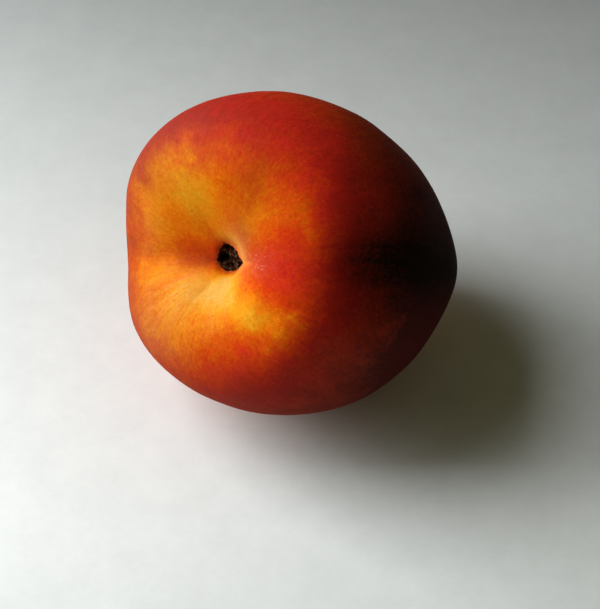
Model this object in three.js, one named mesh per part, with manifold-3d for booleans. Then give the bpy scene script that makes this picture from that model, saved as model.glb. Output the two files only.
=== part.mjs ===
// A ripe peach at its real size, in millimetres, with +Z up.
//
// The fruit is one solid that grew in one piece: shoulders round a deep stem hollow, a suture valley
// down one side, and a blunt tip. It lies tipped over on a small flat spot, where its own weight has
// pressed the flesh, so the dry scar that the stem left looks up and to one side. The origin is the
// middle of that flat spot.
//
// The skin is drawn round the stem axis by rings. Each ring is one step on the way from the middle of
// the scar, over the shoulder, to the tip, and four outlines say where it lies on four sides of the
// fruit. A cubic B-spline smooths the outlines, and the sides are blended round the stem axis.

import * as THREE from "three";
import { mergeVertices } from "three/addons/utils/BufferGeometryUtils.js";
import Module from "manifold-3d";

// ---- Driving dimensions: [distance from the stem axis, height along it] ----

// The floor of the scar and the tip are the same on every side.
const SCAR_FLOOR = [0, 19];
const TIP = [0, -38.5];

// Down the suture valley: a soft rim, a long shallow gully, and a notch in the shoulder.
const VALLEY = [
  [1.4, 19], [2.6, 19.4], [3.3, 20], [5.4, 20.8], [9, 21.7], [14.5, 22.6], [23.5, 23.5],
  [33.5, 18.5], [37.5, 8.5], [38, -2], [35, -14], [27.5, -25], [17, -32.5], [7, -37],
];
// The smaller lobe beside the valley.
const SMALL_LOBE = [
  [1.8, 19], [3.2, 19.4], [3.6, 20.6], [4.8, 22], [7.5, 24.2], [12, 27.2], [18.5, 29.3],
  [27, 25.5], [32, 16.5], [34.5, 3], [33, -12], [25.5, -24.5], [16.5, -32.5], [7, -37],
];
// The back, opposite the valley, where the hollow's wall is steepest.
const BACK = [
  [2, 19], [3.8, 19.3], [4.8, 20.6], [6.6, 22.6], [9.6, 24.8], [14, 27], [20.5, 28.8],
  [29, 27.2], [34.5, 18.5], [38, 5.5], [34.5, -10.5], [29.5, -25.5], [17.5, -34.5], [7, -38],
];
// The larger lobe on the valley's other side, with the highest shoulder.
const LARGE_LOBE = [
  [1.8, 19], [3.2, 19.4], [3.6, 20.6], [4.8, 22.4], [7.5, 24.9], [12, 28.2], [19.5, 31.5],
  [31, 29.7], [37, 18], [38, 3], [33, -12.5], [24.5, -24.5], [16, -32], [7, -37],
];
const SIDES = [VALLEY, SMALL_LOBE, BACK, LARGE_LOBE].map((side) => [SCAR_FLOOR, ...side, TIP]);
const LAST_RING = SIDES[0].length - 1;

// How far round the stem axis the valley reaches on each ring, in degrees.
const VALLEY_REACH = [30, 30, 34, 38, 40, 36, 34, 32, 30, 26, 22, 18, 18, 20, 25, 30];
// The valley swings towards the larger lobe most on this ring, by this many degrees.
const VALLEY_SWING = { ring: 5, spread: 2.5, degrees: 10 };

// Furrows in the skin, and low swellings, whose depth is below zero. The azimuth is round the stem axis
// from the valley, and the ring and reach say how far out the furrow runs. One with a crease rounding
// has a creased bottom, rounded over that share of its half width, and the others are soft troughs.
const FURROWS = [
  { azimuth: -9, depth: 1.3, halfWidth: 3, ring: 5, reach: 1.6, creaseRounding: 0.55 },
  { azimuth: 168, depth: 1.2, halfWidth: 1.1, ring: 4.2, reach: 1.2, creaseRounding: 0.22 },
  { azimuth: 58, depth: 0.3, halfWidth: 0.9, ring: 4.8, reach: 0.9, creaseRounding: 0.45 },
  { azimuth: -133, depth: 0.6, halfWidth: 7, ring: 6.2, reach: 1.8 },
  { azimuth: 110, depth: 0.3, halfWidth: 4, ring: 6, reach: 1.5 },
  { azimuth: 0, depth: 0.9, halfWidth: 3.5, ring: 11.2, reach: 2.3 },
  { azimuth: 170, depth: -1.2, halfWidth: 7, ring: 12, reach: 1.4 },
  { azimuth: -137, depth: -0.35, halfWidth: 10, ring: 11, reach: 1.3 },
  { azimuth: -88, depth: 0.5, halfWidth: 12, ring: 9.2, reach: 1.2 },
  { azimuth: 115, depth: -0.4, halfWidth: 10, ring: 11, reach: 1.2 },
];
const FURROW_START = 1.5;

// The scar sits this far off the stem axis, and the skin follows it out to about this radius.
const SCAR_OFFSET = new THREE.Vector2(1, 0.8);
const SCAR_OFFSET_REACH = 12;

// How the fruit lies: turned about its own axis, leaned over, then turned to its heading.
const SPIN = -47;
const LEAN = 50.5;
const HEADING = -143;
const FLAT_SPOT_DEPTH = 0.7;

// Fineness of the skin.
const STEPS_PER_RING = 4;
const COLUMNS = 64;

const SKIN = { color: 0xc2491f, roughness: 0.62, metalness: 0 };

// ---- Skin ----

const radians = THREE.MathUtils.degToRad;

// An angle brought between -pi and pi.
function wrapped(angle) {
  return THREE.MathUtils.euclideanModulo(angle + Math.PI, 2 * Math.PI) - Math.PI;
}

function bell(x) {
  return Math.exp(-x * x);
}

// The share of each side in a ring's outline at this azimuth, adding up to one.
function sideShares(azimuth, ring) {
  const swing = radians(VALLEY_SWING.degrees) * bell((ring - VALLEY_SWING.ring) / VALLEY_SWING.spread);
  const valley = bell(wrapped(azimuth + swing) / radians(VALLEY_REACH[ring]));
  const back = (0.5 - 0.5 * Math.cos(azimuth)) ** 2;
  const small = (1 - back) * (0.5 + 0.5 * Math.sin(azimuth));
  const large = (1 - back) * (0.5 - 0.5 * Math.sin(azimuth));
  return [valley, small * (1 - valley), back * (1 - valley), large * (1 - valley)];
}

// A ring's control point at this azimuth. Past either end of the outline it is the control point of
// the far side, so that the skin runs smoothly over the scar's middle and over the tip.
function controlPoint(ring, azimuth) {
  const farSide = ring < 0 || ring > LAST_RING;
  const index = ring < 0 ? -ring : Math.min(ring, 2 * LAST_RING - ring);
  const shares = sideShares(farSide ? azimuth + Math.PI : azimuth, index);
  const point = new THREE.Vector2();
  SIDES.forEach((side, i) => point.addScaledVector(new THREE.Vector2(...side[index]), shares[i]));
  if (farSide) point.x *= -1;
  return point;
}

// The control points near a ring number, blended by the four shares of a cubic.
function blended(ringNumber, azimuth, shares) {
  const first = Math.min(Math.floor(ringNumber), LAST_RING - 1);
  const result = new THREE.Vector2();
  shares(ringNumber - first).forEach((share, i) => {
    result.addScaledVector(controlPoint(first - 1 + i, azimuth), share);
  });
  return result;
}

// The shares that make a uniform cubic B-spline through the rings, and those that make its slope.
const splineShares = (f) => [
  (1 - f) ** 3 / 6,
  (3 * f ** 3 - 6 * f ** 2 + 4) / 6,
  (-3 * f ** 3 + 3 * f ** 2 + 3 * f + 1) / 6,
  f ** 3 / 6,
];
const slopeShares = (f) => [
  -((1 - f) ** 2) / 2,
  (3 * f ** 2 - 4 * f) / 2,
  (-3 * f ** 2 + 2 * f + 1) / 2,
  f ** 2 / 2,
];

// How deep all the furrows together cut at this place, less what the swellings raise.
function furrowDepth(radius, ringNumber, azimuth) {
  let depth = 0;
  for (const furrow of FURROWS) {
    const turn = wrapped(azimuth - radians(furrow.azimuth));
    const across = (Math.sin(turn) * radius) / furrow.halfWidth;
    const rounding = furrow.creaseRounding;
    const section = rounding ? Math.exp(rounding - Math.hypot(across, rounding)) : bell(across);
    const along = bell((ringNumber - furrow.ring) / furrow.reach);
    const ahead = THREE.MathUtils.clamp(3 * Math.cos(turn), 0, 1);
    depth += furrow.depth * section * along * ahead;
  }
  return depth * THREE.MathUtils.clamp(radius / FURROW_START, 0, 1);
}

// A point of the skin in the fruit's own frame: the stem axis is +Z and the valley is at +X. The
// furrows are cut square to the outline.
function skinPoint(ringNumber, azimuth) {
  const outline = blended(ringNumber, azimuth, splineShares);
  const slope = blended(ringNumber, azimuth, slopeShares);
  const outward = new THREE.Vector2(-slope.y, slope.x).normalize();
  outline.addScaledVector(outward, -furrowDepth(outline.x, ringNumber, azimuth));
  const follow = outline.y > 0 ? bell(outline.x / SCAR_OFFSET_REACH) : 0;
  return new THREE.Vector3(
    outline.x * Math.cos(azimuth) + SCAR_OFFSET.x * follow,
    outline.x * Math.sin(azimuth) + SCAR_OFFSET.y * follow,
    outline.y,
  );
}

// The closed skin: one vertex in the scar's middle, rows of vertices round the axis, one at the tip.
function skinGeometry() {
  const rows = LAST_RING * STEPS_PER_RING - 1;
  const points = [skinPoint(0, 0)];
  for (let row = 1; row <= rows; row++) {
    for (let column = 0; column < COLUMNS; column++) {
      points.push(skinPoint(row / STEPS_PER_RING, (2 * Math.PI * column) / COLUMNS));
    }
  }
  points.push(skinPoint(LAST_RING, 0));

  const vertex = (row, column) => 1 + (row - 1) * COLUMNS + (column % COLUMNS);
  const tip = points.length - 1;
  const triangles = [];
  for (let column = 0; column < COLUMNS; column++) {
    triangles.push(0, vertex(1, column), vertex(1, column + 1));
    for (let row = 1; row < rows; row++) {
      const inner = [vertex(row, column), vertex(row, column + 1)];
      const outer = [vertex(row + 1, column), vertex(row + 1, column + 1)];
      triangles.push(inner[0], outer[0], outer[1], inner[0], outer[1], inner[1]);
    }
    triangles.push(tip, vertex(rows, column + 1), vertex(rows, column));
  }
  return new THREE.BufferGeometry().setFromPoints(points).setIndex(triangles);
}

// ---- Lying on the flat spot ----

// Leans the fruit over and stands it so that the flat spot's middle is the origin.
function laidDown(geometry) {
  const lie = new THREE.Euler(0, radians(LEAN), radians(HEADING), "ZYX");
  geometry.rotateZ(radians(SPIN));
  geometry.applyMatrix4(new THREE.Matrix4().makeRotationFromEuler(lie));
  geometry.computeBoundingBox();
  const spotHeight = geometry.boundingBox.min.z + FLAT_SPOT_DEPTH;
  const pressed = new THREE.Box3();
  const position = geometry.getAttribute("position");
  const point = new THREE.Vector3();
  for (let i = 0; i < position.count; i++) {
    point.fromBufferAttribute(position, i);
    if (point.z < spotHeight) pressed.expandByPoint(point);
  }
  const middle = pressed.getCenter(new THREE.Vector3());
  return geometry.translate(-middle.x, -middle.y, -spotHeight);
}

function toSolid(wasm, geometry) {
  return new wasm.Manifold(
    new wasm.Mesh({
      numProp: 3,
      vertProperties: geometry.getAttribute("position").array,
      triVerts: new Uint32Array(geometry.index.array),
    }),
  );
}

function toGeometry(solid) {
  const mesh = solid.getMesh();
  const geometry = new THREE.BufferGeometry();
  geometry.setAttribute("position", new THREE.BufferAttribute(mesh.vertProperties, 3));
  geometry.setIndex(new THREE.BufferAttribute(mesh.triVerts, 1));
  geometry.computeVertexNormals();
  return geometry;
}

// A block just below the ground, which takes off what would hang under the flat spot.
function groundBlock() {
  const width = 60;
  const thickness = 10;
  const block = new THREE.BoxGeometry(width, width, thickness).translate(0, 0, -thickness / 2);
  block.deleteAttribute("normal");
  block.deleteAttribute("uv");
  return mergeVertices(block);
}

const wasm = await Module();
wasm.setup();

const fruit = toSolid(wasm, laidDown(skinGeometry())).subtract(toSolid(wasm, groundBlock()));
const peach = new THREE.Mesh(toGeometry(fruit), new THREE.MeshStandardMaterial(SKIN));
peach.name = "peach";

const part = new THREE.Group();
part.add(peach);

export default part;
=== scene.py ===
# %% [markdown]
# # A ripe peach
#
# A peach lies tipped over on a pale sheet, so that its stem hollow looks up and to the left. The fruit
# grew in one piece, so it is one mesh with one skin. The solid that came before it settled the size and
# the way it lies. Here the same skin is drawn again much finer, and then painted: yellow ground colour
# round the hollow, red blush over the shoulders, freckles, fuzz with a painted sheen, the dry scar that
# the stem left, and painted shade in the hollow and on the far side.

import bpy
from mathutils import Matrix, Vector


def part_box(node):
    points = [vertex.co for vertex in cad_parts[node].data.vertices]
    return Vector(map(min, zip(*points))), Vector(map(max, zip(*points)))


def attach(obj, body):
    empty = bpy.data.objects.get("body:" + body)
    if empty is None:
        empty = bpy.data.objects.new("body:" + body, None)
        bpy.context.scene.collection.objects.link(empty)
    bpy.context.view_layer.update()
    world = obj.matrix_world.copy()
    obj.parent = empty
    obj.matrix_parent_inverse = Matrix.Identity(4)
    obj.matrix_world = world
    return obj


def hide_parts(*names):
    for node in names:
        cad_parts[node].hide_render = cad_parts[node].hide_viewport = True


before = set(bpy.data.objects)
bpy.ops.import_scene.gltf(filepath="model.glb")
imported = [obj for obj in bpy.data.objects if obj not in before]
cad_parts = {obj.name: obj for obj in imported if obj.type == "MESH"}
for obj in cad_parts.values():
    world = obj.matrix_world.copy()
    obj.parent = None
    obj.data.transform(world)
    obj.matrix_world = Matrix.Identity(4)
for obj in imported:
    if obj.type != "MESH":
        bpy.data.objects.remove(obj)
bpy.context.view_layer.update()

# %% The libraries
import math

import bpy
import numpy as np
from mathutils import Matrix, Vector, noise

MM = 0.001
scene = bpy.context.scene

# %% [markdown]
# ## The shape of the skin
#
# A peach could be sculpted from a sphere, but its hollow and its suture valley are easier to say as
# outlines. Each list below is one side of the fruit, from the rim of the stem's scar over the shoulder
# to the tip, as pairs of distance from the stem axis and height along it, in millimetres. A cubic
# B-spline runs smoothly past these points, and going round the fruit one side blends into the next.

# %% Four outlines of the fruit, in millimetres
SCAR_FLOOR = (0, 19)
TIP = (0, -38.5)
VALLEY = [
    (1.4, 19), (2.6, 19.4), (3.3, 20), (5.4, 20.8), (9, 21.7), (14.5, 22.6), (23.5, 23.5),
    (33.5, 18.5), (37.5, 8.5), (38, -2), (35, -14), (27.5, -25), (17, -32.5), (7, -37),
]
SMALL_LOBE = [
    (1.8, 19), (3.2, 19.4), (3.6, 20.6), (4.8, 22), (7.5, 24.2), (12, 27.2), (18.5, 29.3),
    (27, 25.5), (32, 16.5), (34.5, 3), (33, -12), (25.5, -24.5), (16.5, -32.5), (7, -37),
]
BACK = [
    (2, 19), (3.8, 19.3), (4.8, 20.6), (6.6, 22.6), (9.6, 24.8), (14, 27), (20.5, 28.8),
    (29, 27.2), (34.5, 18.5), (38, 5.5), (34.5, -10.5), (29.5, -25.5), (17.5, -34.5), (7, -38),
]
LARGE_LOBE = [
    (1.8, 19), (3.2, 19.4), (3.6, 20.6), (4.8, 22.4), (7.5, 24.9), (12, 28.2), (19.5, 31.5),
    (31, 29.7), (37, 18), (38, 3), (33, -12.5), (24.5, -24.5), (16, -32), (7, -37),
]
SIDES = np.array([[SCAR_FLOOR, *side, TIP] for side in (VALLEY, SMALL_LOBE, BACK, LARGE_LOBE)], float)
LAST_RING = SIDES.shape[1] - 1
print("rings from the scar to the tip:", LAST_RING + 1)

# %% [markdown]
# The valley is one of the four sides, but it is narrower than the others, and it swings a little to one
# side on its way out of the hollow. So each side gets a share of the outline that depends on the
# direction round the stem axis, and the valley's share is a bell curve of its own width on each ring.

# %% How the sides blend round the stem axis
VALLEY_REACH = np.radians([30, 30, 34, 38, 40, 36, 34, 32, 30, 26, 22, 18, 18, 20, 25, 30])
SWING_RING, SWING_SPREAD, SWING_ANGLE = 5, 2.5, math.radians(10)
print("valley's reach to each side, in degrees:", np.degrees(VALLEY_REACH).round().astype(int).tolist())


def wrapped(angle):
    return (angle + np.pi) % (2 * np.pi) - np.pi


def bell(x):
    return np.exp(-x * x)


def side_shares(azimuth, ring):
    swing = SWING_ANGLE * bell((ring - SWING_RING) / SWING_SPREAD)
    valley = bell(wrapped(azimuth + swing) / VALLEY_REACH[ring])
    back = (0.5 - 0.5 * np.cos(azimuth)) ** 2
    small = (1 - back) * (0.5 + 0.5 * np.sin(azimuth))
    large = (1 - back) * (0.5 - 0.5 * np.sin(azimuth))
    return np.stack([valley, small * (1 - valley), back * (1 - valley), large * (1 - valley)], -1)


# %% [markdown]
# At the middle of the scar and at the tip the outline has to cross the stem axis without a point. Past
# either end it borrows the control points of the far side, so the skin runs straight over the pole.

# %% The spline
SPLINE_SHARES = (
    lambda f: (1 - f) ** 3 / 6,
    lambda f: (3 * f**3 - 6 * f**2 + 4) / 6,
    lambda f: (-3 * f**3 + 3 * f**2 + 3 * f + 1) / 6,
    lambda f: f**3 / 6,
)
SLOPE_SHARES = (
    lambda f: -((1 - f) ** 2) / 2,
    lambda f: (3 * f**2 - 4 * f) / 2,
    lambda f: (-3 * f**2 + 2 * f + 1) / 2,
    lambda f: f**2 / 2,
)


def control_points(ring, azimuth):
    far_side = (ring < 0) | (ring > LAST_RING)
    index = np.where(ring < 0, -ring, np.minimum(ring, 2 * LAST_RING - ring))
    shares = side_shares(np.where(far_side, azimuth + np.pi, azimuth), index)
    points = np.einsum("...s,s...c->...c", shares, SIDES[:, index])
    points[..., 0] *= np.where(far_side, -1, 1)
    return points


def blended(ring_number, azimuth, shares):
    first = np.minimum(np.floor(ring_number).astype(int), LAST_RING - 1)
    f = (ring_number - first)[..., None]
    return sum(share(f) * control_points(first - 1 + i, azimuth) for i, share in enumerate(shares))


# %% [markdown]
# ## Furrows and unevenness
#
# Near the hollow a real peach has creases where the flesh swelled round the stem: a soft gully along
# the valley, a sharp little notch at the back rim, and a fine shallow crease on the small lobe. They
# are cut square to the outline. Farther out the flesh has a few broad swellings and troughs, and a
# swelling is a cut of less than nothing. The rest of the skin isn't perfectly smooth either, so slow
# noise lifts and lowers it by a fraction of a millimetre, and the dead tissue in the scar is rough and
# pitted.

# %% Cuts in the skin: azimuth, depth, half width, ring, reach, rounding of the crease (None is soft)
FURROWS = [
    (-9, 1.3, 3.0, 5.0, 1.6, 0.55),
    (168, 1.2, 1.1, 4.2, 1.2, 0.22),
    (58, 0.3, 0.9, 4.8, 0.9, 0.45),
    (-133, 0.6, 7.0, 6.2, 1.8, None),
    (110, 0.3, 4.0, 6.0, 1.5, None),
    (0, 0.9, 3.5, 11.2, 2.3, None),
    (170, -1.2, 7.0, 12.0, 1.4, None),
    (-137, -0.35, 10.0, 11.0, 1.3, None),
    (-88, 0.5, 12.0, 9.2, 1.2, None),
    (115, -0.4, 10.0, 11.0, 1.2, None),
]
FURROW_START = 1.5
AHEAD_SHARPNESS = 3
print("furrows, troughs and swellings:", len(FURROWS))


def furrow_depth(radius, ring_number, azimuth):
    depth = 0
    for direction, deepest, half_width, ring, reach, rounding in FURROWS:
        turn = wrapped(azimuth - math.radians(direction))
        across = np.sin(turn) * radius / half_width
        section = bell(across) if rounding is None else np.exp(rounding - np.hypot(across, rounding))
        ahead = np.clip(AHEAD_SHARPNESS * np.cos(turn), 0, 1)
        depth = depth + deepest * section * bell((ring_number - ring) / reach) * ahead
    return depth * np.clip(radius / FURROW_START, 0, 1)


# %% Slow unevenness of the flesh, and the rough pit of the scar
LUMP_SIZE, LUMP_HEIGHT = 11.0, 0.22
DIMPLE_SIZE, DIMPLE_HEIGHT = 3.2, 0.035
LUMPS_FROM_RING, LUMPS_RISE = 4, 3
SCAR_HOLLOW = [
    (1.2, -3.1), (-0.6, -2.1), (-1.6, -0.9), (-2.2, 0.6), (-1.2, 3.2),
    (1.7, 3.1), (3.1, 2.1), (3.9, 0.3), (3.0, -1.7),
]
SCAR_NOTCH = [(-1.2, -0.4), (-4.0, 1.9), (-0.8, 3.3)]
SCAR_REACH, FAR_OUTSIDE = 8, -5.0
TORN_SIZE, TORN_AMOUNT, TORN_LEVEL = 0.5, 0.16, 3
SCAR_WALL, SCAR_DEPTH = 0.7, 0.7
SCAR_ROUGHNESS, SCAR_GRAIN, SCAR_GRAIN_LEVEL = 0.45, 0.9, 7
CRUMPLE_SHARPNESS, CRUMPLE_STEP, CRUMPLE_LAYERS = 0.8, 2.1, 4
PIT_CENTRE, PIT_RADIUS, PIT_DEPTH = (2.6, -0.1), 0.9, 0.9


def unevenness(points, ring_number):
    """Millimetres to add outwards at each point of the smooth skin."""
    out = np.empty(len(points))
    for i, point in enumerate(points):
        place = Vector(point)
        out[i] = LUMP_HEIGHT * noise.noise(place / LUMP_SIZE)
        out[i] += DIMPLE_HEIGHT * noise.noise(place / DIMPLE_SIZE)
    on_body = np.clip((ring_number - LUMPS_FROM_RING) / LUMPS_RISE, 0, 1)
    return out * on_body


def depth_inside(x, y, corners):
    """Millimetres inside a convex outline, and negative outside it."""
    nearest = np.full(np.shape(x), np.inf)
    for (x0, y0), (x1, y1) in zip(corners, corners[1:] + corners[:1]):
        length = math.hypot(x1 - x0, y1 - y0)
        nearest = np.minimum(nearest, ((x - x0) * (y1 - y0) - (y - y0) * (x1 - x0)) / length)
    return nearest


def inside_scar(points):
    """Millimetres inside the torn edge of the scar, far below zero on the rest of the fruit."""
    x, y = points[:, 0], points[:, 1]
    depth = np.maximum(depth_inside(x, y, SCAR_HOLLOW), depth_inside(x, y, SCAR_NOTCH))
    near = (np.hypot(x, y) < SCAR_REACH) & (points[:, 2] > 0)
    for i in np.nonzero(near)[0]:
        depth[i] += TORN_AMOUNT * noise.noise(Vector((x[i], y[i], TORN_LEVEL)) / TORN_SIZE)
    return np.where(near, depth, FAR_OUTSIDE)


def scar_relief(points):
    """Millimetres to add in the scar: a small deep hole in a sunken floor of crumpled dead tissue."""
    depth = inside_scar(points)
    out = np.zeros(len(points))
    for i in np.nonzero(depth > 0)[0]:
        x, y, _ = points[i]
        sunk = min(1.0, depth[i] / SCAR_WALL)
        sunk *= sunk * (3 - 2 * sunk)
        place = Vector((x, y, SCAR_GRAIN_LEVEL)) / SCAR_GRAIN
        crumple = noise.fractal(place, CRUMPLE_SHARPNESS, CRUMPLE_STEP, CRUMPLE_LAYERS)
        pit = math.exp(-((x - PIT_CENTRE[0]) ** 2 + (y - PIT_CENTRE[1]) ** 2) / PIT_RADIUS**2)
        out[i] = sunk * (SCAR_ROUGHNESS * crumple - SCAR_DEPTH - PIT_DEPTH * pit)
    return out


# %% [markdown]
# The scar isn't quite on the stem axis, so everything near it is moved a little to one side, and the
# move dies out over the shoulder. The grid of points is fine enough for the torn edge of the scar.

# %% The whole skin, as a grid of points in the fruit's own frame
STEPS_PER_RING = 20
COLUMNS = 318
SCAR_OFFSET = (1.0, 0.8)
SCAR_OFFSET_REACH = 12
TINY = 1e-9


def skin_points(ring_number, azimuth):
    outline = blended(ring_number, azimuth, SPLINE_SHARES)
    slope = blended(ring_number, azimuth, SLOPE_SHARES)
    outward = np.stack([-slope[:, 1], slope[:, 0]], -1)
    outward /= np.maximum(np.linalg.norm(outward, axis=-1, keepdims=True), TINY)
    outline = outline - outward * furrow_depth(outline[:, 0], ring_number, azimuth)[:, None]

    def placed(line):
        follow = np.where(line[:, 1] > 0, bell(line[:, 0] / SCAR_OFFSET_REACH), 0)
        x = line[:, 0] * np.cos(azimuth) + SCAR_OFFSET[0] * follow
        y = line[:, 0] * np.sin(azimuth) + SCAR_OFFSET[1] * follow
        return np.stack([x, y, line[:, 1]], -1)

    smooth = placed(outline)
    relief = unevenness(smooth, ring_number) + scar_relief(smooth)
    return placed(outline + outward * relief[:, None]), inside_scar(smooth)


rows = LAST_RING * STEPS_PER_RING - 1
grid_ring, grid_azimuth = np.meshgrid(
    np.arange(1, rows + 1) / STEPS_PER_RING, 2 * np.pi * np.arange(COLUMNS) / COLUMNS, indexing="ij"
)
ring_number = np.concatenate([[0.0], grid_ring.ravel(), [float(LAST_RING)]])
azimuth = np.concatenate([[0.0], grid_azimuth.ravel(), [0.0]])
skin, scar_depth = skin_points(ring_number, azimuth)
print("skin points:", len(skin), "size in mm:", np.round(np.ptp(skin, axis=0), 1))

# %% [markdown]
# ## Lying on its flat spot
#
# Ripe flesh gives a little under the fruit's own weight, so a peach rests on a small flat spot. The
# fruit is turned about its stem, leaned over and turned to its heading. Then it is moved until it sits
# in the CAD solid's box, and what would be below the ground is pressed flat.

# %% Lay the fruit down inside the CAD solid's box
SPIN, LEAN, HEADING = -47, 50.5, -143
turn = Matrix.Rotation(math.radians(SPIN), 3, "Z")
lean = Matrix.Rotation(math.radians(LEAN), 3, "Y")
head = Matrix.Rotation(math.radians(HEADING), 3, "Z")
lie = np.array(head @ lean @ turn)

low, high = (np.array(corner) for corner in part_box("peach"))
laid = skin @ lie.T * MM
fit = min(1.0, float(((high - low)[:2] / np.ptp(laid, axis=0)[:2]).min()))
laid *= fit
shift = (low + high) / 2 - (laid.min(0) + laid.max(0)) / 2
shift[2] = high[2] - laid[:, 2].max()
laid[:, 2] = np.maximum(laid[:, 2], low[2] - shift[2])
print("fitted by a factor of", round(fit, 5), "and moved to", np.round(shift, 4))

# %% [markdown]
# The paint is placed by the stem axis and not by the ground. So each point remembers where it is in
# the fruit's own frame, in millimetres, and also its direction round the stem and its ring number,
# because blush and freckles follow those.

# %% Make the mesh
def skin_faces():
    def vertex(row, column):
        return 1 + (row - 1) * COLUMNS + column % COLUMNS

    tip = 1 + rows * COLUMNS
    for column in range(COLUMNS):
        yield (0, vertex(1, column), vertex(1, column + 1))
        for row in range(1, rows):
            yield (
                vertex(row, column),
                vertex(row + 1, column),
                vertex(row + 1, column + 1),
                vertex(row, column + 1),
            )
        yield (tip, vertex(rows, column + 1), vertex(rows, column))


mesh = bpy.data.meshes.new("peach_skin")
mesh.from_pydata((laid + shift).tolist(), [], list(skin_faces()))
mesh.polygons.foreach_set("use_smooth", [True] * len(mesh.polygons))
remembered = {
    "own_mm": skin,
    "round_and_ring": np.stack([np.cos(azimuth), np.sin(azimuth), ring_number], -1),
}
for name, values in remembered.items():
    mesh.attributes.new(name, "FLOAT_VECTOR", "POINT").data.foreach_set("vector", values.ravel())
mesh.attributes.new("inside_scar_mm", "FLOAT", "POINT").data.foreach_set("value", scar_depth)
mesh.update()

peach = bpy.data.objects.new("peach_fruit", mesh)
scene.collection.objects.link(peach)
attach(peach, "root")
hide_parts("peach")
print("triangles:", sum(len(p.vertices) - 2 for p in mesh.polygons))

# %% [markdown]
# ## Camera
#
# The camera stands about a third of a metre away and looks down at about 50 degrees, with a long lens,
# so the fruit shows its hollow and its shadow without much perspective. It aims at a point just in
# front of the fruit, which leaves more of the sheet below it.

# %% Camera
ELEVATION = math.radians(50)
CAMERA_DISTANCE = 0.3315
LENS, SENSOR_WIDTH = 88.7, 36
AIM_RIGHT, AIM_UP = 0.0028, -0.0099
NEAREST_SEEN = 0.01

to_camera = Vector((0, -math.cos(ELEVATION), math.sin(ELEVATION)))
view_up = Vector((0, math.sin(ELEVATION), math.cos(ELEVATION)))
fruit_centre = Vector(shift)
camera_data = bpy.data.cameras.new("camera")
camera_data.sensor_fit = "HORIZONTAL"
camera_data.sensor_width = SENSOR_WIDTH
camera_data.lens = LENS
camera_data.clip_start = NEAREST_SEEN
camera = bpy.data.objects.new("camera", camera_data)
scene.collection.objects.link(camera)
camera.location = fruit_centre + to_camera * CAMERA_DISTANCE
aim = fruit_centre + Vector((AIM_RIGHT, 0, 0)) + view_up * AIM_UP
camera.rotation_euler = (aim - camera.location).to_track_quat("-Z", "Y").to_euler()
scene.camera = camera
print("camera at", [round(c, 3) for c in camera.location])

# %% [markdown]
# ## Light
#
# One tall window on the left, slightly behind the fruit and low, makes the long soft shadow to the
# right. The room gives only a little light back, so the far side falls into deep shade.

# %% The window: its azimuth is towards the far side and its elevation above the ground, in degrees
KEY_AZIMUTH, KEY_ELEVATION, KEY_DISTANCE = 10, 34, 0.40
KEY_WIDTH, KEY_HEIGHT, KEY_POWER = 0.24, 0.56, 3.15
KEY_COLOUR = (0.94, 1.0, 1.0)

a, e = math.radians(KEY_AZIMUTH), math.radians(KEY_ELEVATION)
to_window = Vector((-math.cos(a) * math.cos(e), math.sin(a) * math.cos(e), math.sin(e)))
window_light = bpy.data.lights.new("window", "AREA")
window_light.shape = "RECTANGLE"
window_light.size, window_light.size_y = KEY_WIDTH, KEY_HEIGHT
window_light.energy = KEY_POWER
window_light.color = KEY_COLOUR
window = bpy.data.objects.new("window", window_light)
scene.collection.objects.link(window)
window.location = Vector((fruit_centre.x, fruit_centre.y, 0)) + to_window * KEY_DISTANCE
window.rotation_euler = (-to_window).to_track_quat("-Z", "Y").to_euler()
window.visible_camera = False
print("window at", [round(c, 3) for c in window.location])

# %% The room
ROOM_COLOUR, ROOM_LIGHT = (1.0, 0.96, 0.52, 1), 0.068
world = bpy.data.worlds.new("room")
world.use_nodes = True
world.node_tree.nodes["Background"].inputs["Color"].default_value = ROOM_COLOUR
world.node_tree.nodes["Background"].inputs["Strength"].default_value = ROOM_LIGHT
scene.world = world
scene.view_settings.view_transform = "Standard"

# %% [markdown]
# ## A helper for shaders
#
# Paint is arithmetic on masks, and arithmetic is easiest to read as such. This class wraps a socket, so
# that adding or multiplying two of them makes the Math node. `node` makes any other kind of node, and
# the stops of a colour ramp are one of its settings.

# %% A socket that can be calculated with
def set_stops(elements, stops):
    """Gives a new ramp its stops, each a position and a colour. It comes with two, and one is kept."""
    elements.remove(elements[-1])
    for i, (position, colour) in enumerate(stops):
        stop = elements[0] if i == 0 else elements.new(position)
        stop.position = position
        stop.color = (*colour, 1)


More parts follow.
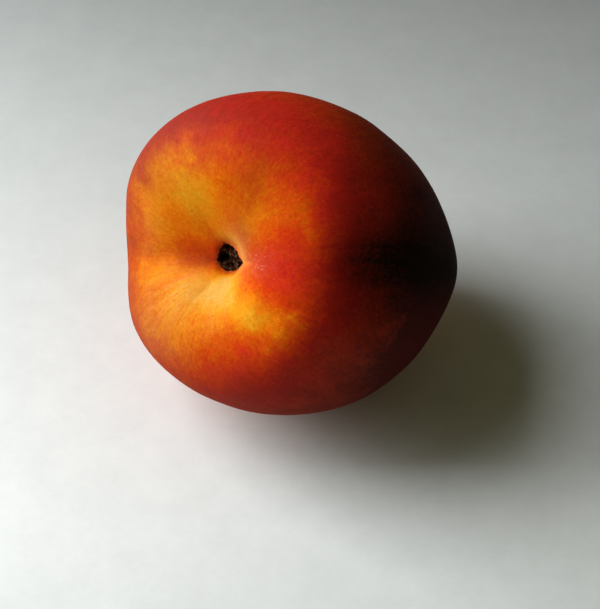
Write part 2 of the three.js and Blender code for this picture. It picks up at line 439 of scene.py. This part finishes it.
class Value:
    def __init__(self, tree, socket):
        self.tree = tree
        self.socket = socket

    def node(self, kind, settings=None, output=0, **inputs):
        """Makes a node, then its settings, then its sockets by name or number; returns one output."""
        made = self.tree.nodes.new("ShaderNode" + kind)
        for name, setting in (settings or {}).items():
            if name == "stops":
                set_stops(made.color_ramp.elements, setting)
            else:
                setattr(made, name, setting)
        for name, given in inputs.items():
            socket = made.inputs[int(name[1:]) if name[1:].isdigit() else name.replace("_", " ")]
            if isinstance(given, Value):
                self.tree.links.new(given.socket, socket)
            else:
                socket.default_value = given
        return Value(self.tree, made.outputs[output])

    def maths(self, operation, other=0.0, clamp=False):
        return self.node("Math", {"operation": operation, "use_clamp": clamp}, i0=self, i1=other)

    def __add__(self, other):
        return self.maths("ADD", other)

    def __radd__(self, other):
        return self.maths("ADD", other)

    def __sub__(self, other):
        return self.maths("SUBTRACT", other)

    def __rsub__(self, other):
        return self.node("Math", {"operation": "SUBTRACT"}, i0=other, i1=self)

    def __mul__(self, other):
        return self.maths("MULTIPLY", other)

    def __rmul__(self, other):
        return self.maths("MULTIPLY", other)

    def __truediv__(self, other):
        return self.maths("DIVIDE", other)

    def __neg__(self):
        return self * -1.0

    def clamped(self):
        return self.maths("ADD", 0.0, clamp=True)

    def step(self, low, high):
        """0 at low, 1 at high, and a soft rise between them; low may be the larger one."""
        settings = {"interpolation_type": "SMOOTHSTEP"}
        if low < high:
            return self.node("MapRange", settings, Value=self, From_Min=low, From_Max=high)
        return 1.0 - self.node("MapRange", settings, Value=self, From_Min=high, From_Max=low)

    def scaled(self, x, y, z):
        return self.node("VectorMath", {"operation": "MULTIPLY"}, i0=self, i1=(x, y, z))

    def per(self, size):
        """This place counted in steps of a size."""
        return self.scaled(1 / size, 1 / size, 1 / size)

    def ramp(self, stops):
        return self.node("ValToRGB", {"stops": stops}, Fac=self)

    def noise(self, detail, roughness):
        """Soft noise from -1 to 1, mostly within a half."""
        settings = {"noise_dimensions": "3D"}
        grey = self.node("TexNoise", settings, Vector=self, Scale=1.0, Detail=detail, Roughness=roughness)
        return grey * 2.0 - 1.0

    def mixed(self, other, amount, blend="MIX"):
        """This colour with another laid over it."""
        settings = {"data_type": "RGBA", "blend_type": blend, "clamp_factor": True}
        return self.node("Mix", settings, output=2, i0=amount, i6=self, i7=other)


# %% [markdown]
# ## Skin
#
# A peach's colour grows in layers. Under everything is the yellow ground colour. The sun lays a red
# blush over it, dense on the shoulders and thin in the hollow, and where the blush is thickest it goes
# to maroon. Painted shade darkens that maroon further and runs down it as a nearly black band. Between
# the layers the border is never clean: it breaks up in streaks that run from the stem to the tip, in soft
# blotches, and in a fine stipple of freckles.
#
# The blush could be one noise texture, but then it would fall in the wrong places. Instead it is laid
# as a few broad soft patches, each at its own direction round the stem and its own ring, and noise
# only frays them.

# %% Where a point of the skin is
skin_material = bpy.data.materials.new("peach_skin")
skin_material.use_nodes = True
skin_tree = skin_material.node_tree
skin_shader = skin_tree.nodes["Principled BSDF"]
start = Value(skin_tree, None)
own = start.node("Attribute", {"attribute_name": "own_mm"}, output="Vector")
place = start.node("Attribute", {"attribute_name": "round_and_ring"}, output="Vector")
cosine = own.node("SeparateXYZ", output="X", Vector=place)
sine = own.node("SeparateXYZ", output="Y", Vector=place)
true_ring = own.node("SeparateXYZ", output="Z", Vector=place)

# %% The frayed position that the patches are laid by
# A size below zero reads the noise on the other side of its middle, so the two frays differ.
FRAY_SIZE, CROSS_FRAY_SIZE = 7.0, -8.75
FRAY_RINGS, FRAY_TURN = 0.6, 0.2
NO_FRAY_RING, FULL_FRAY_RING = 2.5, 5.0
fray = own.per(FRAY_SIZE).noise(detail=3.0, roughness=0.6)
cross_fray = own.per(CROSS_FRAY_SIZE).noise(detail=3.0, roughness=0.6)
ring = true_ring + fray * FRAY_RINGS * true_ring.step(NO_FRAY_RING, FULL_FRAY_RING)
east = cosine - sine * cross_fray * FRAY_TURN
north = sine + cosine * cross_fray * FRAY_TURN


def patch(azimuth, width, at_ring, reach, frayed=True):
    """1 in the middle of a soft patch of skin and 0 far away; azimuth and width are in degrees."""
    a = math.radians(azimuth)
    x, y, along = (east, north, ring) if frayed else (cosine, sine, true_ring)
    chord_squared = 2.0 - (x * math.cos(a) + y * math.sin(a)) * 2.0
    along = (along - at_ring) / reach
    return (-(chord_squared / math.radians(width) ** 2 + along * along)).maths("EXPONENT")


def patches(table):
    total = None
    for strength, *where in table:
        layer = patch(*where) * strength
        total = layer if total is None else total + layer
    return total


# %% The blush: strength, azimuth, width, ring and reach of each patch
BLUSH_BASE = 0.64
BLUSH_PATCHES = [
    (-0.70, 95, 42, 4.2, 1.5),
    (-0.12, 75, 20, 5.7, 0.8),
    (-0.52, 131, 13, 6.8, 0.8),
    (-0.24, 139, 8, 7.6, 0.45),
    (0.16, 128, 12, 7.2, 0.35),
    (0.12, -13, 14, 5.2, 0.8),
    (0.08, -59, 13, 5.9, 0.6),
    (-0.08, -78, 34, 6.8, 0.6),
    (-0.12, -110, 40, 3.7, 0.6),
    (-0.38, 88, 48, 2.7, 0.8),
    (-0.14, 100, 22, 5.6, 0.7),
    (-0.22, 118, 14, 5.6, 0.8),
    (-0.42, -76, 30, 6.1, 1.1),
    (-0.24, -95, 30, 4.6, 1.2),
    (-0.16, -48, 18, 7.1, 0.6),
    (-0.16, -48, 16, 4.8, 0.9),
    (-0.42, 38, 32, 5.2, 1.6),
    (-0.22, 50, 34, 6.9, 0.8),
    (-0.20, 6, 10, 6.4, 1.0),
    (-0.26, -25, 20, 6.3, 1.0),
    (-0.34, -135, 44, 3.2, 0.9),
    (-0.26, -150, 24, 6.2, 1.5),
    # painted shade: deeper red low in the valley by the scar
    (0.12, -12, 26, 3.2, 1.2),
    (0.24, 168, 18, 6.6, 1.3),
    (0.25, 180, 70, 8.6, 1.4),
    (0.30, -100, 50, 8.3, 1.0),
    (0.26, 100, 40, 8.6, 1.1),
    (0.15, -154, 24, 8.9, 0.5),
    (0.14, 165, 14, 8.6, 0.5),
    (-0.13, -170, 14, 7.6, 0.35),
    (0.12, -144, 10, 6.6, 0.45),
    (0.13, 42, 13, 6.8, 0.4),
    (0.09, -90, 26, 7.9, 0.5),
    (-0.16, -177, 9, 7.9, 0.3),
    (-0.08, 158, 9, 8.0, 0.3),
    (0.10, 141, 9, 8.4, 0.3),
    # The rest is low on the fruit: yellower and redder places there, and a yellow tip.
    (-0.26, -45, 45, 11.2, 1.3),
    (-0.20, 52, 34, 12.0, 1.3),
    (0.16, 2, 18, 10.6, 1.8),
    (0.20, -110, 40, 12.0, 1.2),
    (-0.38, 0, 500, 14.9, 1.1),
]
blush = patches(BLUSH_PATCHES) + BLUSH_BASE
print("patches of blush:", len(BLUSH_PATCHES))

# %% [markdown]
# Streaks are noise that is stretched along the way from the stem to the tip: fine round the stem and
# slow from ring to ring. Blotches and grain are the same size in every direction. On the hollow's wall
# between the valley and the small lobe, longer streaks spread out like a fan of rays.

# %% What frays the blush: fineness round the stem and from ring to ring, or a size in millimetres
streaks = place.scaled(16.0, 16.0, 0.9).noise(detail=4.0, roughness=0.62)
fine_streaks = place.scaled(52.0, 52.0, 2.4).noise(detail=3.0, roughness=0.6)
blotches = own.per(3.6).noise(detail=5.0, roughness=0.62)
grain = own.per(0.8).noise(detail=3.0, roughness=0.75)
mottle = place.scaled(22.0, 22.0, 3.4).noise(detail=5.0, roughness=0.7)
in_hollow = ring.step(8.0, 6.0)
rays = place.scaled(30.0, 30.0, 0.45).noise(detail=3.0, roughness=0.6)
fanned = patch(40, 50, 5.8, 1.6)

RAY_BLUSH, STREAK_BLUSH, HOLLOW_STREAK_BLUSH = 0.30, 0.04, 0.04
FINE_STREAK_BLUSH, BLOTCH_BLUSH, GRAIN_BLUSH = 0.06, 0.14, 0.22
blush = blush + rays * fanned * RAY_BLUSH
blush = blush + streaks * (in_hollow * HOLLOW_STREAK_BLUSH + STREAK_BLUSH)
blush = blush + fine_streaks * FINE_STREAK_BLUSH + blotches * BLOTCH_BLUSH + grain * GRAIN_BLUSH

# %% The colour of more and more blush
BLUSH_COLOURS = [
    (0.00, (0.63, 0.320, 0.045)),
    (0.14, (0.69, 0.270, 0.008)),
    (0.36, (0.69, 0.170, 0.002)),
    (0.55, (0.60, 0.085, 0.001)),
    (0.75, (0.53, 0.034, 0.002)),
    (1.00, (0.43, 0.013, 0.006)),
]
colour = blush.ramp(BLUSH_COLOURS)

# %% [markdown]
# The layers aren't equally bright either. These patches are partly the skin's own tone and partly
# painted shade: the valley by the scar, the back wall of the hollow, its trough and the front of the
# shoulders are darkened where shade falls, and the outer shoulders near the back are a little brighter.

# %% Darker and brighter parts, partly painted shade
TONE_AND_SHADE_PATCHES = [
    (-0.26, -168, 32, 5.4, 1.6),
    (-0.32, -138, 17, 6.8, 1.2),
    (-0.26, -146, 26, 4.6, 1.3),
    (-0.50, -8, 26, 3.6, 1.1),
    (-0.20, -4, 12, 5.0, 0.9),
    (-0.16, -11, 6, 6.4, 1.6),
    (-0.38, -65, 60, 8.0, 0.9),
    (-0.36, 20, 55, 8.2, 1.0),
    (-0.10, 60, 50, 6.9, 0.8),
    (0.30, 138, 34, 7.9, 0.9),
    (0.22, -145, 28, 8.4, 0.7),
    (-0.30, 80, 40, 9.7, 1.0),
    (-0.17, -58, 22, 7.1, 0.8),
    (-0.14, 26, 20, 6.9, 0.6),
    (-0.14, 128, 16, 6.9, 0.6),
    (0.22, -122, 22, 9.0, 0.8),
    (0.12, -163, 12, 8.2, 0.4),
    (0.20, 139, 14, 9.1, 0.7),
    (-0.14, 141, 9, 7.0, 0.5),
    (-0.34, -146, 26, 10.0, 0.8),
    (-0.30, 112, 22, 9.9, 0.7),
]
RAY_TONE, BLOTCH_TONE, MOTTLE_TONE, BODY_MOTTLE_TONE = 0.10, 0.12, 0.10, 0.34
tone_and_shade = patches(TONE_AND_SHADE_PATCHES) + 1.0
mottled = mottle * (ring.step(5.5, 8.5) * BODY_MOTTLE_TONE + MOTTLE_TONE)
tone_and_shade = tone_and_shade * (1.0 + rays * fanned * RAY_TONE + blotches * BLOTCH_TONE + mottled)
print("patches of tone:", len(TONE_AND_SHADE_PATCHES))
colour = colour.mixed(tone_and_shade.node("CombineXYZ", X=tone_and_shade, Y=tone_and_shade, Z=tone_and_shade), 1.0, "MULTIPLY")

# %% [markdown]
# Low on the back of the fruit the blush thickens to maroon, and it thins again towards the tip. The
# maroon is real blush, painted darker to carry part of the deep shade on that side. Down the middle of
# it runs a nearly black band of painted shade, because the lamp's shade alone leaves the skin evenly red
# there.

# %% Maroon low on the back, painted darker for shade, and a band of painted shade down its middle
# maroon blush, painted darker to carry part of the shade on the far side
MAROON_AND_SHADE = (0.076, 0.012, 0.011, 1)
MAROON_STRENGTH = 1.35
far_side = patch(158, 72, 10.5, 9.0)
thick_blush_and_shade = (ring + streaks * 0.25 + blotches * 0.1 + mottle * 0.25 + grain * 0.7).step(8.0, 11.0)
thinning = (ring + streaks * 1.2 + blotches * 0.8).step(14.6, 11.4)
thinning = thinning + streaks * 0.25 * ring.step(11.0, 12.5)
thick_blush_and_shade = (thick_blush_and_shade * far_side * thinning * MAROON_STRENGTH).clamped()
colour = colour.mixed(MAROON_AND_SHADE, thick_blush_and_shade)

# painted shade: a nearly black band down the middle of the shaded side
SHADE_BAND_COLOUR = (0.012, 0.006, 0.003, 1)
shade_band = patch(173, 13, 10.2, 1.3, frayed=False) * 0.95 + patch(172, 11, 9.0, 0.7, frayed=False) * 0.45
shade_band = shade_band + patch(178, 26, 11.8, 1.2) * 0.6
shade_band = (shade_band * (1.0 + streaks * 0.3 + mottle * 0.15 + grain * 0.5)).clamped()
colour = colour.mixed(SHADE_BAND_COLOUR, shade_band)
print("nodes so far:", len(skin_tree.nodes))

# %% [markdown]
# The stipple is made of small freckles, darker and redder than the skin round them. A cell pattern
# gives every freckle a place of its own, some cells stay empty, and noise makes them stronger here
# and weaker there. Plain noise would run them together into worms.

# %% Freckles
clumps = own.per(1.3).noise(detail=2.0, roughness=0.6)
CELL_EDGE, DOT_CORE = 0.02, 0.4


def freckles(cell, radius, share):
    """Small round dots, one at most in each cell: sizes in millimetres, and the share of filled cells."""
    where = own.per(cell)
    dot = where.node("TexVoronoi", output="Distance", Vector=where, Scale=1.0)
    lot = where.node("TexVoronoi", output="Color", Vector=where, Scale=1.0)
    filled = lot.node("SeparateColor", output=0, i0=lot).step(1 - share, 1 - share + CELL_EDGE)
    return (dot * cell).step(radius, radius * DOT_CORE) * filled


FRECKLE = (0.78, 0.42, 0.42, 1)
freckled = freckles(1.5, 0.36, 0.6) * 0.6 + freckles(0.9, 0.30, 0.5) * 0.4
colour = colour.mixed(FRECKLE, freckled * (clumps + 0.7), "MULTIPLY")

# %% [markdown]
# In the front of the hollow, towards the small lobe, the skin is stretched and paler in thin streaks,
# and over the whole of it lies a painted highlight where the fuzz catches the light.

# %% Paler skin and a painted highlight in the front of the hollow
PALE_SKIN_AND_HIGHLIGHT = (0.86, 0.42, 0.17, 1)
PALE_STREAKS, PALE_FINE_STREAKS, PAINTED_HIGHLIGHT = 0.25, 0.2, 0.13
pale_and_highlit = patch(32, 30, 5.6, 1.6) + patch(84, 38, 4.9, 1.1) * 1.3
pale_share = streaks * PALE_STREAKS + fine_streaks * PALE_FINE_STREAKS + PAINTED_HIGHLIGHT
# partly painted highlight: pale streaks, and a constant paling over the patch
colour = colour.mixed(PALE_SKIN_AND_HIGHLIGHT, pale_and_highlit * pale_share)

# %% [markdown]
# The scar is dead, dry tissue, dark brown with lighter brown flakes round the hole where the vessels
# ran. The hole is painted near black: dark tissue with painted shade deep in the pit. On the valley's
# side, painted shade darkens the skin to dark red where it dips towards the scar, and on the small
# lobe's side it has a dry brown edge.

# %% Scar: millimetres inside its torn edge choose the tissue
inside = start.node("Attribute", {"attribute_name": "inside_scar_mm"}, output="Fac")
flakes = own.per(1.0).noise(detail=3.0, roughness=0.6)
TISSUE_EDGE = 0.08
HOLE_RIM, HOLE_FLOOR = 1.5, 0.5
FLAKE_CONTRAST, FLAKE_MIDDLE = 1.3, 0.42

# painted shade: dark red where the skin dips into the scar on the valley's side
SCAR_SHADE = (0.10, 0.012, 0.004, 1)
lip = inside.step(-1.2, 0.1) * patch(-5, 55, 2.6, 3.0)
colour = colour.mixed(SCAR_SHADE, lip * 0.9)
DRY_EDGE = (0.17, 0.034, 0.003, 1)
colour = colour.mixed(DRY_EDGE, inside.step(-1.1, -0.1) * patch(85, 45, 2.6, 3.0) * 0.8)

TISSUE_COLOURS = [
    (0.00, (0.005, 0.002, 0.002)),
    (0.35, (0.018, 0.006, 0.002)),
    (0.58, (0.044, 0.014, 0.004)),
    (0.80, (0.110, 0.058, 0.040)),
]
# the hole is painted near black: dark dead tissue with painted shade deep in the pit
SHADED_HOLE = (0.002, 0.001, 0.001, 1)
across = own.scaled(1, 1, 0)
from_hole = own.node("VectorMath", {"operation": "DISTANCE"}, output="Value", i0=across, i1=(*PIT_CENTRE, 0))
tissue = (flakes * FLAKE_CONTRAST + FLAKE_MIDDLE).ramp(TISSUE_COLOURS)
tissue = tissue.mixed(SHADED_HOLE, from_hole.step(HOLE_RIM, HOLE_FLOOR))
colour = colour.mixed(tissue, inside.step(-TISSUE_EDGE, TISSUE_EDGE))

# %% [markdown]
# Behind the scar the lip is smooth pale skin. Farther out on the back wall the fuzz has been rubbed,
# and pale scuffs are left, broken up into short scratches.

# %% Pale skin on the lip of the scar, and rubbed fuzz behind it
LIP_SKIN = (0.56, 0.26, 0.075, 1)
SCUFF = (0.78, 0.50, 0.40, 1)
SCRATCHED, RUBBED = 0.45, 0.03
scratch_grain = own.scaled(1 / 1.3, 1 / 0.6, 1 / 1.3).noise(detail=4.0, roughness=0.7)
colour = colour.mixed(LIP_SKIN, patch(-165, 58, 2.8, 1.5) * inside.step(0.1, -0.2) * 0.72)
scuffed = patch(168, 10, 5.8, 0.8, frayed=False) + patch(178, 30, 4.6, 0.9) * 0.4
scratches = (scratch_grain + fine_streaks * 0.4).step(0.05, 0.6)
colour = colour.mixed(SCUFF, scuffed * (scratches * SCRATCHED + RUBBED))

# %% [markdown]
# A peach is covered with short pale hairs. They catch the light as a faint haze where the shoulders
# turn away from the eye, and everywhere they show as a fine grain. Real hairs would be many thousand
# thin meshes, too heavy for this fruit, so the haze is a painted sheen, with one broad faint patch of
# painted gloss over the lit side, and the grain is paint and a very shallow bump.

# %% Fuzz: painted sheen and grain
SHEEN_HAZE = (0.80, 0.62, 0.50, 1)
PAINTED_SHEEN_PATCHES = [
    (0.038, -25, 60, 8.3, 0.7),
    (0.024, -80, 35, 7.5, 0.7),
    (0.020, -24, 16, 6.9, 0.5),
    (0.025, 42, 24, 7.7, 0.8),
    (0.024, 95, 34, 8.8, 1.0),
    (0.016, 137, 16, 9.2, 0.9),
    (0.003, -10, 100, 6.5, 3.5),
]
HAIR_SIZE = 0.5
HAIR_RED, HAIR_GREEN, HAIR_BLUE = 0.15, 0.32, 0.80
HAIR_BUMP, HAIR_HEIGHT = 0.35, 0.00008
# painted sheen on the rims, and one faint broad patch of painted gloss
colour = colour.mixed(SHEEN_HAZE, patches(PAINTED_SHEEN_PATCHES))
hairs = own.per(HAIR_SIZE).noise(detail=3.0, roughness=0.8)
pale = hairs + clumps * 0.5
red, green, blue = (pale * amount + 1.0 for amount in (HAIR_RED, HAIR_GREEN, HAIR_BLUE))
colour = colour.mixed(pale.node("CombineXYZ", X=red, Y=green, Z=blue), 1.0, "MULTIPLY")
bump = hairs.node("Bump", Height=hairs, Strength=HAIR_BUMP, Distance=HAIR_HEIGHT)
print("patches of haze:", len(PAINTED_SHEEN_PATCHES))

# %% [markdown]
# The skin is matt, with hardly any shine, because the fuzz scatters the light before it can reflect.
# A trace of sheen stands for the hairs that catch the light at the rim.

# %% The material of the skin
SKIN_SETTINGS = {
    "Roughness": 0.62,
    "Specular IOR Level": 0.007,
    "Sheen Weight": 0.01,
    "Sheen Roughness": 0.3,
    "Sheen Tint": (1.0, 0.6, 0.45, 1),
}
for name, setting in SKIN_SETTINGS.items():
    skin_shader.inputs[name].default_value = setting
skin_tree.links.new(colour.socket, skin_shader.inputs["Base Color"])
skin_tree.links.new(bump.socket, skin_shader.inputs["Normal"])
mesh.materials.append(skin_material)
print("nodes in the skin:", len(skin_tree.nodes))

# %% [markdown]
# ## The sheet under the fruit
#
# The fruit lies on a plain sheet of pale paper. Its paint holds painted shade: it darkens towards the
# back, from nearly white in front to grey behind, as the window's light falls off, and one ramp along
# its depth does that. A very faint grain keeps it from looking like plastic. It is flat and large, so
# that its edges stay out of sight from above.

# %% Floor
FLOOR_SIZE = 12.0
# painted shade: the sheet's paint darkens from near to far as the window's light falls off
NEAR_SHADE, FAR_SHADE = 0.90, 0.36
NEAR_EDGE, FAR_EDGE = -0.05, 0.14
FLOOR_ROUGHNESS = 0.85
PAPER_GRAIN, PAPER_CONTRAST = 0.012, 0.11

floor_mesh = bpy.data.meshes.new("sheet")
half = FLOOR_SIZE / 2
corners = [(-half, -half, 0), (half, -half, 0), (half, half, 0), (-half, half, 0)]
floor_mesh.from_pydata(corners, [], [(0, 1, 2, 3)])
floor = bpy.data.objects.new("sheet", floor_mesh)
scene.collection.objects.link(floor)
floor.location = (fruit_centre.x, fruit_centre.y, 0)

floor_material = bpy.data.materials.new("sheet")
floor_material.use_nodes = True
floor_tree = floor_material.node_tree
floor_shader = floor_tree.nodes["Principled BSDF"]
floor_shader.inputs["Roughness"].default_value = FLOOR_ROUGHNESS
spot = Value(floor_tree, None).node("TexCoord", output="Object")
depth = spot.node("SeparateXYZ", output="Y", Vector=spot)
edges = {"From_Min": NEAR_EDGE, "From_Max": FAR_EDGE, "To_Min": NEAR_SHADE, "To_Max": FAR_SHADE}
shade = depth.node("MapRange", Value=depth, **edges)
paper = spot.per(PAPER_GRAIN).noise(detail=5.0, roughness=0.8)
shade = shade * (paper * PAPER_CONTRAST + 1.0)
floor_tree.links.new(shade.socket, floor_shader.inputs["Base Color"])
floor_mesh.materials.append(floor_material)
print("sheet, metres across:", FLOOR_SIZE)
